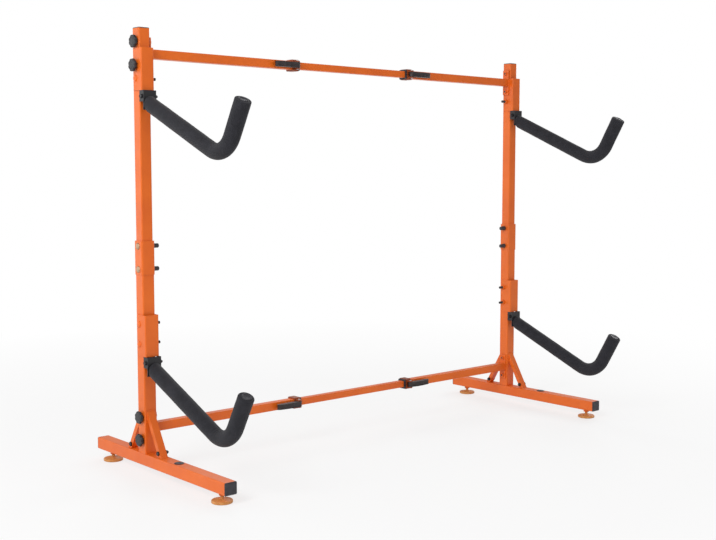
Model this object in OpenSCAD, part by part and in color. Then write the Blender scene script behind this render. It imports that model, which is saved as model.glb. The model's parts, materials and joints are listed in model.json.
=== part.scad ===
// Freestanding rack for two kayaks: two T-shaped side frames on levelling feet,
// four foam-covered J hooks and two telescoping rails that set the width.
// Lengths are in millimetres, +X runs along the rails, -Y is the front, +Z is up.
// The left side is drawn, and the right side is its mirror image in the plane X = 0,
// with plain bolts in the place of the left side's knobs.

/* [Overall] */
// Distance between the centres of the two posts
post_spacing = 1780; // [1600:10:1860]
// Height of the post caps above the floor
rack_h = 1450; // [1400:5:1600]
// Height of the lower rail's centre line above the floor
low_rail_z = 155; // [152:1:165]
// Distance from the post cap's top down to the upper rail's centre line
high_rail_drop = 82; // [75:1:110]
// Clearance between two tubes that fit one inside the other, on each side
fit_gap = 0.2; // [0.1:0.05:0.4]
// Gap between faces that turn or slide past each other
turn_gap = 0.3; // [0.2:0.05:0.5]

/* [Posts] */
// Outside width of the upper post tube
upper_tube = 40; // [38:1:44]
// Wall of both post tubes
post_wall = 1.8; // [1.5:0.1:2.5]
// Outside corner radius of the post tubes
post_corner = 4; // [3:0.5:6]
// Wall of the splice sleeve
sleeve_wall = 1.8; // [1.5:0.1:3]
// Height of the splice sleeve
sleeve_h = 110; // [100:1:140]
// Height of the sleeve's middle above the floor
splice_z = 715; // [680:5:760]
// Depth to which the upper post reaches below the sleeve
splice_reach = 20; // [5:1:40]
// Spacing of the two splice bolts
splice_bolt_gap = 75; // [60:1:80]

/* [Foot] */
// Width of the foot tube
foot_w = 44; // [40:1:60]
// Height of the foot tube
foot_h = 40; // [36:1:50]
// Wall of the foot tube
foot_wall = 2; // [1.5:0.1:3]
// Outside corner radius of the foot tube
foot_corner = 4; // [3:0.5:6]
// Reach of the foot in front of the post's centre
foot_front = 473; // [450:1:550]
// Reach of the foot behind the post's centre
foot_rear = 299; // [260:1:400]
// Distance of the black hole plug in front of the post's centre
hole_plug_y = 190; // [150:1:260]
// Diameter of the black hole plug's rim
hole_plug_d = 32; // [28:1:34]

/* [Stub and braces] */
// Height of the stub that holds the post, above the foot
stub_h = 141; // [136:1:160]
// Width of a brace tube, along the rails
brace_w = 25; // [22:1:30]
// Depth of a brace tube, across its slant
brace_d = 16; // [15:0.5:20]
// Wall of a brace tube
brace_wall = 1.5; // [1.2:0.1:2]
// Lean of a brace from the vertical, in degrees
brace_lean = 30; // [28:0.5:34]
// Height of a brace's top corner above the foot
brace_h = 143; // [130:1:155]

/* [Levelling feet] */
// Diameter of a levelling pad
pad_d = 66; // [50:1:80]
// Thickness of a levelling pad at its rim
pad_rim = 9; // [6:0.5:9.5]
// Height of a pad's hub above the floor
pad_hub_h = 12; // [11.5:0.5:13]
// Diameter of a levelling stem
stem_d = 12; // [10:1:12]
// Clear height of the foot tube above the floor
foot_clear = 32; // [32:1:45]
// Distance of the front pad in front of the post's centre
pad_front = 428; // [380:1:430]
// Distance of the rear pad behind the post's centre
pad_rear = 232; // [180:1:250]

/* [Rails] */
// Outside width of an outer rail tube
rail_w = 30; // [28:1:34]
// Wall of a rail tube
rail_wall = 1.5; // [1.2:0.1:2]
// Outside corner radius of an outer rail tube
rail_corner = 3; // [2.5:0.5:4]
// Distance from the rack's middle to the inner end of an outer rail
rail_end = 266; // [200:1:320]
// Length of the centre tube that is hidden in each outer rail
rail_insert = 116; // [100:1:160]
// Wall of the plastic bush between the rail tubes
bush_wall = 0.8; // [0.6:0.1:1.2]
// Length of the bush inside the outer rail
bush_len = 50; // [30:1:70]
// Thickness of the bush's flange
bush_flange = 5; // [3:0.5:8]
// Height of a rail's end plate
plate_h = 104; // [96:1:110]
// Thickness of a rail's end plate
plate_t = 4; // [3:0.5:6]
// Spacing of the two knobs or bolts of an end plate
knob_gap = 75; // [70:1:80]

/* [Rail clamps] */
// Wall of a clamp collar
collar_wall = 5; // [4:0.1:5.5]
// Length of a clamp collar along the rail
collar_len = 24; // [20:1:34]
// Distance of the collar from the outer rail's end
collar_back = 2; // [1:0.5:6]
// Length of a cam lever from its pin to its tip
lever_len = 98; // [70:1:120]
// Height of a cam lever
lever_h = 19; // [16:0.5:22]
// Diameter of a lever's hub
lever_hub_d = 18; // [16:0.5:20]
// Diameter of a lever's pin
lever_pin_d = 6; // [5:0.5:8]
// Thickness of a clamp lug
lug_t = 4.5; // [3:0.5:6]

/* [Clamp knobs] */
// Diameter of a clamp knob
knob_d = 42; // [36:1:46]
// Thickness of a clamp knob's head
knob_t = 11; // [9:0.5:14]
// Diameter of a knob's neck
knob_neck_d = 22; // [18:1:26]
// Length of a knob's neck
knob_neck = 4; // [3:0.5:8]
// Number of finger flutes in a knob
knob_flutes = 8; // [6:1:10]
// Diameter of a knob's threaded stud
stud_d = 8; // [6:1:10]

/* [Hooks] */
// Height of the lower hook bracket's top edge above the floor
low_bracket_top = 530; // [500:5:570]
// Height of the upper hook bracket's top edge above the upper rail's centre line
high_bracket_rise = 17; // [10:1:25]
// Height of a hook bracket
bracket_h = 135; // [120:1:150]
// Height of the arm's root plate, below the bracket
root_h = 62; // [60:1:80]
// Height of the root plate's two side flanges
root_side_h = 36; // [34:1:45]
// Distance of the root plate in front of the bracket's face
root_ahead = 11; // [8:1:14]
// Gap between the post and the root plate's flanges
root_gap = 3; // [1:0.5:6]
// Sheet thickness of a hook bracket
bracket_t = 3; // [2:0.5:4]
// Depth of a hook bracket in front of the post
bracket_depth = 17; // [17:1:22]
// Reach of a bracket's wings behind the post's centre
bracket_wing = 12; // [11:1:16]
// Distance of a bracket's lower bolt below its top edge
bracket_bolt = 96; // [90:1:100]
// Spacing of the lower hook bracket's two bolts
bracket_bolt_gap = 65; // [55:1:75]
// Distance of an arm's clamp bolt below the bracket
clamp_bolt_drop = 19; // [16:1:24]
// Distance of the arm's centre line below the bracket, at its root
arm_drop = 39; // [36:1:44]
// Slope of a hook's long leg below the horizontal, in degrees
arm_slope = 23.4; // [20:0.2:26]
// Distance from the bracket to the crossing of the two legs' centre lines
arm_reach = 425; // [380:5:460]
// Lean of a hook's tip forward from the vertical, in degrees
tip_lean = 29; // [22:0.5:34]
// Length of a hook's tip from the crossing of the two centre lines
tip_len = 193; // [170:1:240]
// Bend radius of a hook's centre line
bend_r = 85; // [70:1:90]
// Diameter of the steel arm
arm_d = 25; // [22:1:28]
// Wall of the steel arm
arm_wall = 2; // [1.5:0.1:2.5]
// Diameter of the foam sleeve
foam_d = 50; // [44:1:52]
// Distance of the foam sleeve in front of the root plate
foam_start = 3; // [2:0.5:10]
// Diameter of a hook's tip cap
tip_cap_d = 32; // [28:1:40]

/* [Fasteners and plugs] */
// Diameter of the cross bolts
bolt_d = 10; // [8:1:10]
// Width across the flats of the cross bolts' nuts
nut_af = 17; // [16:1:18]
// Thickness of the cross bolts' nuts
nut_t = 10; // [8:1:12]
// Length of bolt that stands out of a nut
bolt_tail = 16; // [4:1:18]
// Diameter of the clamp and brace bolts
small_bolt_d = 8; // [6:1:8]
// Width across the flats of the clamp and brace bolts
small_af = 13; // [12:1:14]
// Thickness of a tube plug's face
plug_t = 3; // [2:0.5:5]
// Depth to which a tube plug reaches into its tube
plug_reach = 12; // [8:1:20]

/* [Hidden] */
$fn = 48;
cut = 1;                        // overshoot of a cut past the face it opens
hole_gap = 0.5;                 // radial clearance of a bolt in its hole
thread_gap = 0.05;              // radial clearance of a running thread
slide_gap = 0.1;                // clearance of the centre tube in its bush, each side

// posts, measured from the post's own centre line
upper_half = upper_tube / 2;
lower_tube = upper_tube + 2 * (post_wall + fit_gap);
lower_half = lower_tube / 2;
sleeve_half = lower_half + fit_gap + sleeve_wall;
post_x = post_spacing / 2;

// heights above the floor
foot_top = foot_clear + foot_h;
stub_top = foot_top + stub_h;
sleeve_low = splice_z - sleeve_h / 2;
sleeve_top = splice_z + sleeve_h / 2;
post_top = rack_h - plug_t;
high_rail_z = rack_h - high_rail_drop;
high_bracket_top = high_rail_z + high_bracket_rise;
high_root_z = high_bracket_top - bracket_h;
low_root_z = low_bracket_top - bracket_h;
splice_bolt_z = [splice_z - splice_bolt_gap / 2, splice_z + splice_bolt_gap / 2];
low_bolt_z = [low_bracket_top - bracket_bolt,
              low_bracket_top - bracket_bolt + bracket_bolt_gap];
high_bolt_z = high_bracket_top - bracket_bolt;
low_knob_z = [low_rail_z - knob_gap / 2, low_rail_z + knob_gap / 2];
high_knob_z = [high_rail_z - knob_gap / 2, high_rail_z + knob_gap / 2];

// hook brackets: half width outside, and distance of the front face from the post's centre
high_wing = upper_half + fit_gap + bracket_t;
low_wing = lower_half + fit_gap + bracket_t;
high_face = upper_half + bracket_depth;
low_face = lower_half + bracket_depth;
clamp_bolt_ahead = (root_gap + bracket_depth + root_ahead) / 2;     // in front of the post

// hook centre line: two straight legs joined by one bend
bend_angle = 90 - tip_lean + arm_slope;
bend_run = bend_r * tan(bend_angle / 2);
leg_len = arm_reach / cos(arm_slope) - bend_run;
tip_run = tip_len - bend_run;
foam_r = foam_d / 2;

// the origin lies on the floor, midway between the rack's front and its back
front_reach = max(foot_front + plug_t,
    low_face + arm_reach + tip_len * sin(tip_lean) + foam_r * cos(tip_lean));
rear_reach = foot_rear + plug_t;
post_y = (front_reach - rear_reach) / 2;

// braces
brace_foot_y = lower_half + brace_h * tan(brace_lean);
brace_slant = brace_d / cos(brace_lean);        // a brace's depth measured level
brace_skin = brace_wall / cos(brace_lean);      // its wall measured level
lug_h = 26;                                     // welded lug inside a brace's foot
lug_gap = 0.5;
brace_bolt_rise = 14;

// levelling feet
weld_nut_t = 9;
weld_nut_af = stem_d + 7;
stem_top = foot_top - foot_wall - 12;
stem_r = stem_d / 2;

// rails
rail_half = rail_w / 2;
bush_half = rail_half - rail_wall - slide_gap;
bush_hole = bush_half - bush_wall;
centre_half = bush_hole - slide_gap;
centre_len = 2 * (rail_end + rail_insert);
collar_half = rail_half + fit_gap + collar_wall;
collar_mid = rail_end + collar_back + collar_len / 2;
lever_gap = 2;                                  // lever's hub ahead of the collar
pin_ahead = collar_half + lever_gap + lever_hub_d / 2;
lug_r = lever_hub_d / 2 - 1;
lug_low = lever_h / 2 + turn_gap;
plate_w = rail_w;
plate_nut_t = 6;
plate_nut_af = stud_d + 5;
stud_r = stud_d / 2;

// ---- shared shapes ----

// A drawing made round the left post's centre line, put on the named side.
module on_side(side) {
    mirror([side == "right" ? 1 : 0, 0, 0])
        translate([-post_x, post_y, 0]) children();
}

// Rectangle with round corners, centred.
module round_rect(w, h, r) {
    square([w - 2 * r, h], center = true);
    square([w, h - 2 * r], center = true);
    for (x = [-1, 1], y = [-1, 1])
        translate([x * (w / 2 - r), y * (h / 2 - r)]) circle(r);
}

// Section of a rectangular tube.
module tube_section(w, h, r, wall) {
    difference() {
        round_rect(w, h, r);
        round_rect(w - 2 * wall, h - 2 * wall, max(r - wall, 0.5));
    }
}

// Upright square tube between two heights.
module upright_tube(half, r, wall, low, high) {
    translate([0, 0, low])
        linear_extrude(high - low) tube_section(2 * half, 2 * half, r, wall);
}

// Round bar along X between two places.
module bar_x(r, from, to, y = 0, z = 0) {
    translate([from, y, z]) rotate([0, 90, 0]) cylinder(r = r, h = to - from);
}

// Hexagonal prism along X, given across its flats.
module hex_x(af, from, to, y = 0, z = 0) {
    translate([from, y, z]) rotate([0, 90, 0])
        cylinder(r = af / 2 / cos(30), h = to - from, $fn = 6);
}

// Holes right through a post at the given heights.
module cross_holes(d, heights, reach, y = 0) {
    for (z = heights) bar_x(d / 2 + hole_gap, -reach, reach, y, z);
}

// Plug for the end of a rectangular tube, its face at the origin, pointing up.
module tube_plug(w, h, r, wall) {
    inner = wall + fit_gap;
    linear_extrude(plug_t) round_rect(w, h, r);
    translate([0, 0, -plug_reach]) linear_extrude(plug_reach)
        tube_section(w - 2 * inner, h - 2 * inner, max(r - inner, 1), 2);
}

// ---- side frame ----

// A cut that follows a brace's slant, between two level offsets from its outer line.
module brace_slab(outer, inner, low, high, width) {
    y_at = function(z, offset) brace_foot_y - offset - (z - foot_top) * tan(brace_lean);
    translate([-width / 2, 0, 0]) rotate([90, 0, 90]) linear_extrude(width)
        polygon([[y_at(low, outer), low], [y_at(low, inner), low],
                 [y_at(high, inner), high], [y_at(high, outer), high]]);
}

module foot() {
    shell = [foot_w, foot_h];
    difference() {
        union() {
            translate([0, foot_rear, foot_clear + foot_h / 2]) rotate([90, 0, 0])
                linear_extrude(foot_front + foot_rear)
                    tube_section(shell.x, shell.y, foot_corner, foot_wall);
            for (y = [-pad_front, pad_rear])
                translate([0, y, foot_clear - weld_nut_t])
                    cylinder(r = weld_nut_af / 2 / cos(30), h = weld_nut_t, $fn = 6);
        }
        for (y = [-pad_front, pad_rear])
            translate([0, y, foot_clear - weld_nut_t - cut])
                cylinder(r = stem_r + thread_gap, h = weld_nut_t + foot_wall + 2 * cut);
        translate([0, -hole_plug_y, foot_top - foot_wall - cut])
            cylinder(d = hole_plug_d - 8, h = foot_wall + 2 * cut);
    }
    for (turn = [0, 180]) rotate([0, 0, turn]) brace_lug();
}

// Lug welded on the foot, inside the bottom of a brace.
module brace_lug() {
    difference() {
        brace_slab(brace_skin + lug_gap, brace_slant - brace_skin - lug_gap,
            foot_top, foot_top + lug_h, brace_w - 2 * (brace_wall + lug_gap));
        brace_bolt_hole();
    }
}

module brace_bolt_hole() {
    bar_x(small_bolt_d / 2 + hole_gap, -brace_w, brace_w, brace_bolt_y(), foot_top + brace_bolt_rise);
}

function brace_bolt_y() = brace_foot_y - brace_slant / 2 - brace_bolt_rise * tan(brace_lean);

// One brace, on the side of +Y.
module brace() {
    difference() {
        brace_slab(0, brace_slant, foot_top, foot_top + 2 * brace_h, brace_w);
        brace_slab(brace_skin, brace_slant - brace_skin, foot_top - cut,
            foot_top + 2 * brace_h + cut, brace_w - 2 * brace_wall);
        translate([-brace_w, -brace_foot_y, foot_top])
            cube([2 * brace_w, brace_foot_y + lower_half, 3 * brace_h]);
        brace_bolt_hole();
    }
}

module braces() {
    for (turn = [0, 180]) rotate([0, 0, turn]) brace();
}

// Stub welded on the foot, inside the lower post; it is cut from the upper post's tube.
module post_stub() {
    difference() {
        upright_tube(upper_half, post_corner, post_wall, foot_top, stub_top);
        cross_holes(stud_d, low_knob_z, upper_half + cut);
    }
}

module lower_post() {
    difference() {
        upright_tube(lower_half, post_corner, post_wall, foot_top, sleeve_top);
        cross_holes(stud_d, low_knob_z, lower_half + cut);
        cross_holes(bolt_d, concat(low_bolt_z, splice_bolt_z), lower_half + cut);
    }
}

module upper_post() {
    difference() {
        upright_tube(upper_half, post_corner, post_wall, sleeve_low - splice_reach, post_top);
        cross_holes(stud_d, high_knob_z, upper_half + cut);
        cross_holes(bolt_d, concat([high_bolt_z], splice_bolt_z), upper_half + cut);
    }
}

module splice_sleeve() {
    difference() {
        upright_tube(sleeve_half, post_corner + sleeve_wall, sleeve_wall, sleeve_low, sleeve_top);
        cross_holes(bolt_d, splice_bolt_z, sleeve_half + cut);
    }
}

// ---- hooks ----

// Channel that wraps the front of a post; the hook hangs below it.
module bracket(post_half, wing, face, top, bolt_holes, stud_holes) {
    bend = bracket_t + 1;
    difference() {
        translate([0, 0, top - bracket_h]) linear_extrude(bracket_h) difference() {
            union() {
                translate([-wing, -face + bend]) square([2 * wing, face - bend + bracket_wing]);
                translate([-wing + bend, -face]) square([2 * (wing - bend), bend]);
                for (x = [-1, 1]) translate([x * (wing - bend), -face + bend]) circle(bend);
            }
            translate([-post_half - fit_gap, -face + bracket_t])
                square([2 * (post_half + fit_gap), face + bracket_wing]);
        }
        cross_holes(bolt_d, bolt_holes, wing + cut);
        cross_holes(stud_d, stud_holes, wing + cut);
    }
}

// Round bar along the hook's centre line, from a distance past its root to past its tip.
// The bend is drawn round its own centre, and one plane both ends it and starts the tip.
module hook_bar(r, start, past) {
    rotate([arm_slope, 0, 0]) translate([0, -leg_len, bend_r]) {
        translate([0, leg_len - start, -bend_r]) rotate([90, 0, 0]) rotate([0, 0, -90])
            cylinder(r = r, h = leg_len - start);
        difference() {
            rotate(180, [1, 0, -1]) rotate_extrude(angle = bend_angle + 5)
                translate([bend_r, 0]) circle(r);
            at_bend_end() translate([-2 * r, -2 * r, 0]) cube([4 * r, 4 * r, bend_r]);
        }
        at_bend_end() cylinder(r = r, h = tip_run + past);
    }
}

// Places its children at the end of the bend, pointing along the tip.
module at_bend_end() {
    rotate([-bend_angle, 0, 0]) translate([0, 0, -bend_r])
        rotate([90, 0, 0]) rotate([0, 0, -90]) children();
}

// Steel arm with the flanged plate welded to its root; high is the bracket's lower edge.
module arm(post_half, wing, face, high) {
    front = face + root_ahead;
    back = post_half + root_gap;
    difference() {
        translate([-wing, -front, high - root_h]) cube([2 * wing, front - back, root_h]);
        translate([-wing + bracket_t, -front + bracket_t, high - root_h - cut])
            cube([2 * (wing - bracket_t), front, root_h + 2 * cut]);
        translate([-wing - cut, -front + bracket_t, high - root_h - cut])
            cube([2 * (wing + cut), front, root_h - root_side_h + cut]);
        cross_holes(small_bolt_d, [high - clamp_bolt_drop], wing + cut, -post_half - clamp_bolt_ahead);
    }
    difference() {
        translate([0, -face, high - arm_drop]) difference() {
            hook_bar(arm_d / 2, -arm_d, 0);
            hook_bar(arm_d / 2 - arm_wall, -arm_d - cut, cut);
        }
        translate([-arm_d, -front, high - arm_drop - 2 * arm_d]) cube([2 * arm_d, 4 * arm_d, 4 * arm_d]);
    }
}

// Foam sleeve, cut upright where it starts in front of the root plate.
module foam(face, high) {
    from = face + root_ahead + foam_start;
    difference() {
        translate([0, -face, high - arm_drop]) difference() {
            hook_bar(foam_r, -foam_r, 0);
            hook_bar(arm_d / 2 + slide_gap, -foam_r - cut, cut);
        }
        translate([-foam_d, -from, high - arm_drop - 2 * foam_d])
            cube([2 * foam_d, 4 * foam_d, 4 * foam_d]);
    }
}

// Plastic cap in the end of a hook's tip.
module tip_cap(face, high) {
    rim = tip_cap_d / 2;
    translate([0, -face, high - arm_drop]) rotate([arm_slope, 0, 0])
        translate([0, -leg_len, bend_r]) at_bend_end() translate([0, 0, tip_run]) {
            rotate_extrude() polygon([[0, 0], [rim, 0], [rim, plug_t / 2],
                [rim - 1, plug_t * 0.8], [rim - 3, plug_t], [0, plug_t]]);
            translate([0, 0, -plug_reach])
                cylinder(r = arm_d / 2 - arm_wall - fit_gap, h = plug_reach);
        }
}

// ---- rails ----

// Outer rail with its welded end plate; seat is the plate's distance from the post's centre
// and spacer the gap that a welded ring fills behind the plate at the upper knob.
module rail(z, seat, spacer) {
    from = seat + plate_t;
    difference() {
        union() {
            translate([from, 0, z]) rotate([90, 0, 90]) linear_extrude(post_x - rail_end - from)
                tube_section(rail_w, rail_w, rail_corner, rail_wall);
            translate([seat, 0, z]) rotate([90, 0, 90]) linear_extrude(plate_t)
                round_rect(plate_w, plate_h, rail_corner);
            for (side = [-1, 1])
                hex_x(plate_nut_af, from, from + plate_nut_t, 0, z + side * knob_gap / 2);
            if (spacer > 0) bar_x(stud_d + 2, seat - spacer, seat, 0, z + knob_gap / 2);
        }
        for (side = [-1, 1])
            bar_x(stud_r + thread_gap, seat - spacer - cut, from + plate_nut_t + cut,
                0, z + side * knob_gap / 2);
    }
}

module centre_tube(z) {
    translate([-centre_len / 2, 0, z]) rotate([90, 0, 90]) linear_extrude(centre_len)
        tube_section(2 * centre_half, 2 * centre_half, rail_corner - 0.5, rail_wall);
}

module rail_bush(z) {
    r = rail_corner - rail_wall;
    from = post_x - rail_end;
    difference() {
        union() {
            translate([from - bush_len, 0, z]) rotate([90, 0, 90]) linear_extrude(bush_len + cut)
                round_rect(2 * bush_half, 2 * bush_half, r);
            translate([from, 0, z]) rotate([90, 0, 90]) linear_extrude(bush_flange)
                round_rect(2 * collar_half - 4, 2 * collar_half - 4, rail_corner);
        }
        translate([from - bush_len - cut, 0, z]) rotate([90, 0, 90])
            linear_extrude(bush_len + bush_flange + 2 * cut)
                round_rect(2 * bush_hole, 2 * bush_hole, r);
    }
}

// Clamp collar with two lugs for the lever's pin and a slit between them.
module clamp_collar(z) {
    mid = post_x - collar_mid;
    difference() {
        union() {
            translate([mid - collar_len / 2, 0, z]) rotate([90, 0, 90]) linear_extrude(collar_len)
                round_rect(2 * collar_half, 2 * collar_half, rail_corner + 2);
            for (low = [z + lug_low, z - lug_low - lug_t]) translate([mid, 0, low]) {
                translate([-lug_r, -pin_ahead, 0]) cube([2 * lug_r, pin_ahead - rail_half - 1, lug_t]);
                translate([0, -pin_ahead, 0]) cylinder(r = lug_r, h = lug_t);
            }
        }
        translate([mid - collar_len, 0, z]) rotate([90, 0, 90]) linear_extrude(2 * collar_len)
            round_rect(2 * (rail_half + fit_gap), 2 * (rail_half + fit_gap), rail_corner);
        translate([mid - collar_len, -collar_half - cut, z - 1]) cube([2 * collar_len, collar_half, 2]);
        translate([mid, -pin_ahead, z - lug_low - lug_t - cut])
            cylinder(d = lever_pin_d, h = 2 * (lug_low + lug_t + cut));
    }
}

module lever_pin(z) {
    head = 1.5;
    translate([post_x - collar_mid, -pin_ahead, z - lug_low - lug_t]) {
        cylinder(d = lever_pin_d, h = 2 * (lug_low + lug_t));
        for (end = [-head, 2 * (lug_low + lug_t)])
            translate([0, 0, end]) cylinder(d = lever_pin_d + 3, h = head);
    }
}

// Cam lever that lies along the outer rail, toward the post; its back is an arc.
module lever(z) {
    steps = 12;
    thick = 11;
    tip = 5;
    bow = 5;
    arc = [for (i = [0 : steps]) let (t = i / steps)
        [-t * (lever_len - tip), -lever_hub_d / 2 + t * (lever_hub_d / 2 - 7) - bow * sin(180 * t)]];
    translate([post_x - collar_mid, -pin_ahead, z - lever_h / 2]) difference() {
        union() {
            cylinder(d = lever_hub_d, h = lever_h);
            linear_extrude(lever_h) polygon(concat(arc,
                [[-lever_len, -3], [-lever_len, 2], [-lever_len + tip, 5], [-thick, thick / 2], [0, 5]]));
        }
        translate([0, 0, -cut]) cylinder(r = lever_pin_d / 2 + thread_gap, h = lever_h + 2 * cut);
    }
}

// Clamp knob on the outside of the left post, its stud running through to the rail's end
// plate. seat is the outer face that the neck meets, and end the plate's nut face.
module knob(z, seat, end) {
    base = seat + turn_gap;
    rim = knob_d / 2;
    translate([-base, 0, z]) rotate([0, -90, 0]) difference() {
        rotate_extrude() polygon([[0, 0], [knob_neck_d / 2, 0], [knob_neck_d / 2 - 2, knob_neck],
            [rim - 2, knob_neck], [rim, knob_neck + 2], [rim, knob_neck + knob_t - 4],
            [rim - 1.5, knob_neck + knob_t - 1.5], [rim - 5, knob_neck + knob_t], [0, knob_neck + knob_t]]);
        for (i = [0 : knob_flutes - 1]) rotate([0, 0, (i + 0.5) * 360 / knob_flutes])
            translate([rim + 2, 0, knob_neck - cut]) cylinder(r = 4.5, h = knob_t + 2 * cut);
    }
    bar_x(stud_r, -base - knob_neck, end, 0, z);
}

// Dome-headed bolt that takes a knob's place on the right post.
module rail_bolt(z, seat, end) {
    bar_x(stud_r, -seat, end, 0, z);
    dome_head(stud_d, seat, z);
}

// ---- levelling feet ----

module levelling_foot(y) {
    rim = pad_d / 2;
    translate([0, y, 0]) {
        rotate_extrude() polygon([[0, 0], [rim - 1.5, 0], [rim, 1.5], [rim, pad_rim - 1.5],
            [rim - 1.5, pad_rim], [stem_d + 3, pad_rim + 2], [stem_d, pad_hub_h], [0, pad_hub_h]]);
        cylinder(r = stem_r, h = stem_top);
    }
}

// ---- fasteners and plugs ----

// Carriage bolt with its domed head on the outside of the post.
module carriage_bolt(half, z) {
    bar_x(bolt_d / 2, -half, half + nut_t + bolt_tail, 0, z);
    dome_head(bolt_d, half, z);
}

// Domed head of a bolt along X, on the outer face at the given distance.
module dome_head(d, half, z) {
    head_r = d * 1.1;
    head_t = d * 0.5;
    translate([-half, 0, z]) rotate([0, -90, 0]) rotate_extrude()
        polygon(concat([[0, 0]], [for (a = [0 : 15 : 90]) [head_r * cos(a), head_t * sin(a)]]));
}

// Lock nut on the inside of the post.
module lock_nut(half, z, d, af, t, y = 0) {
    difference() {
        union() {
            hex_x(af, half, half + 0.75 * t, y, z);
            bar_x(af * 0.45, half, half + t, y, z);
        }
        bar_x(d / 2 + thread_gap, half - cut, half + t + cut, y, z);
    }
}

module hex_bolt(half, y, z) {
    head = small_bolt_d * 0.65;
    bar_x(small_bolt_d / 2, -half - head / 2, half + small_bolt_d + 3, y, z);
    hex_x(small_af, -half - head, -half, y, z);
}

clamp_bolt_at = [[low_wing, -lower_half - clamp_bolt_ahead, low_root_z - clamp_bolt_drop],
                 [high_wing, -upper_half - clamp_bolt_ahead, high_root_z - clamp_bolt_drop]];
brace_bolt_at = [for (side = [-1, 1])
    [brace_w / 2, side * brace_bolt_y(), foot_top + brace_bolt_rise]];

module carriage_bolts() {
    for (z = splice_bolt_z) carriage_bolt(sleeve_half, z);
    for (z = low_bolt_z) carriage_bolt(low_wing, z);
    carriage_bolt(high_wing, high_bolt_z);
}

module hex_bolts() {
    for (at = concat(clamp_bolt_at, brace_bolt_at)) hex_bolt(at[0], at[1], at[2]);
}

module lock_nuts() {
    for (z = splice_bolt_z) lock_nut(sleeve_half, z, bolt_d, nut_af, nut_t);
    for (z = low_bolt_z) lock_nut(low_wing, z, bolt_d, nut_af, nut_t);
    lock_nut(high_wing, high_bolt_z, bolt_d, nut_af, nut_t);
    for (at = concat(clamp_bolt_at, brace_bolt_at))
        lock_nut(at[0], at[2], small_bolt_d, small_af, small_bolt_d, at[1]);
}

module end_plugs() {
    mid = foot_clear + foot_h / 2;
    translate([0, -foot_front, mid]) rotate([90, 0, 0]) tube_plug(foot_w, foot_h, foot_corner, foot_wall);
    translate([0, foot_rear, mid]) rotate([-90, 0, 0]) tube_plug(foot_w, foot_h, foot_corner, foot_wall);
    translate([0, 0, post_top]) tube_plug(upper_tube, upper_tube, post_corner, post_wall);
    translate([0, -hole_plug_y, foot_top]) {
        rotate_extrude() polygon([[0, 0], [hole_plug_d / 2, 0], [hole_plug_d / 2, 1.5],
            [hole_plug_d / 2 - 3, plug_t], [0, plug_t]]);
        translate([0, 0, -foot_wall - 4])
            cylinder(d = hole_plug_d - 8 - 2 * fit_gap, h = foot_wall + 4);
    }
    tip_cap(high_face, high_root_z);
    tip_cap(low_face, low_root_z);
}

// ---- one module for each kind of node, by side ----

module foot_node(side) color("orangered") on_side(side) foot();
module post_stub_node(side) color("orangered") on_side(side) post_stub();
module braces_node(side) color("orangered") on_side(side) braces();
module lower_post_node(side) color("orangered") on_side(side) lower_post();
module upper_post_node(side) color("orangered") on_side(side) upper_post();
module sleeve_node(side) color("orangered") on_side(side) splice_sleeve();
module upper_bracket_node(side) color("orangered") on_side(side)
    bracket(upper_half, high_wing, high_face, high_bracket_top, [high_bolt_z], [high_knob_z[0]]);
module lower_bracket_node(side) color("orangered") on_side(side)
    bracket(lower_half, low_wing, low_face, low_bracket_top, low_bolt_z, []);
module upper_arm_node(side) color("black") on_side(side)
    arm(upper_half, high_wing, high_face, high_root_z);
module lower_arm_node(side) color("black") on_side(side)
    arm(lower_half, low_wing, low_face, low_root_z);
module upper_foam_node(side) color("dimgray") on_side(side) foam(high_face, high_root_z);
module lower_foam_node(side) color("dimgray") on_side(side) foam(low_face, low_root_z);
module upper_rail_node(side) color("orangered") on_side(side)
    rail(high_rail_z, high_wing, high_wing - upper_half);
module lower_rail_node(side) color("orangered") on_side(side) rail(low_rail_z, lower_half, 0);
module centre_tube_node(z) color("orangered") translate([0, post_y, 0]) centre_tube(z);
module bushes_node(side) color("black") on_side(side)
    for (z = [low_rail_z, high_rail_z]) rail_bush(z);
module collars_node(side) color("sienna") on_side(side)
    for (z = [low_rail_z, high_rail_z]) clamp_collar(z);
module lever_pins_node(side) color("silver") on_side(side)
    for (z = [low_rail_z, high_rail_z]) lever_pin(z);
module lever_node(side, z) color("black") on_side(side) lever(z);
module levelling_foot_node(side, y) color("peru") on_side(side) levelling_foot(y);
module carriage_bolts_node(side) color("silver") on_side(side) carriage_bolts();
module hex_bolts_node(side) color("black") on_side(side) hex_bolts();
module lock_nuts_node(side) color("black") on_side(side) lock_nuts();
module end_plugs_node(side) color("black") on_side(side) end_plugs();

// Places 1 and 2 hold the lower rail and 3 and 4 the upper one, counted upward.
// Each has its height, its seat on the post's outer side and its end at the plate's nut.
low_end = lower_half + plate_t + plate_nut_t;
high_end = high_wing + plate_t + plate_nut_t;
rail_fixings = [[low_knob_z[0], lower_half, low_end], [low_knob_z[1], lower_half, low_end],
                [high_knob_z[0], high_wing, high_end], [high_knob_z[1], upper_half, high_end]];
module knob_node(number) color("black") on_side("left")
    knob(rail_fixings[number - 1][0], rail_fixings[number - 1][1], rail_fixings[number - 1][2]);
module rail_bolts_node() color("black") on_side("right")
    for (at = rail_fixings) rail_bolt(at[0], at[1], at[2]);

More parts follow.
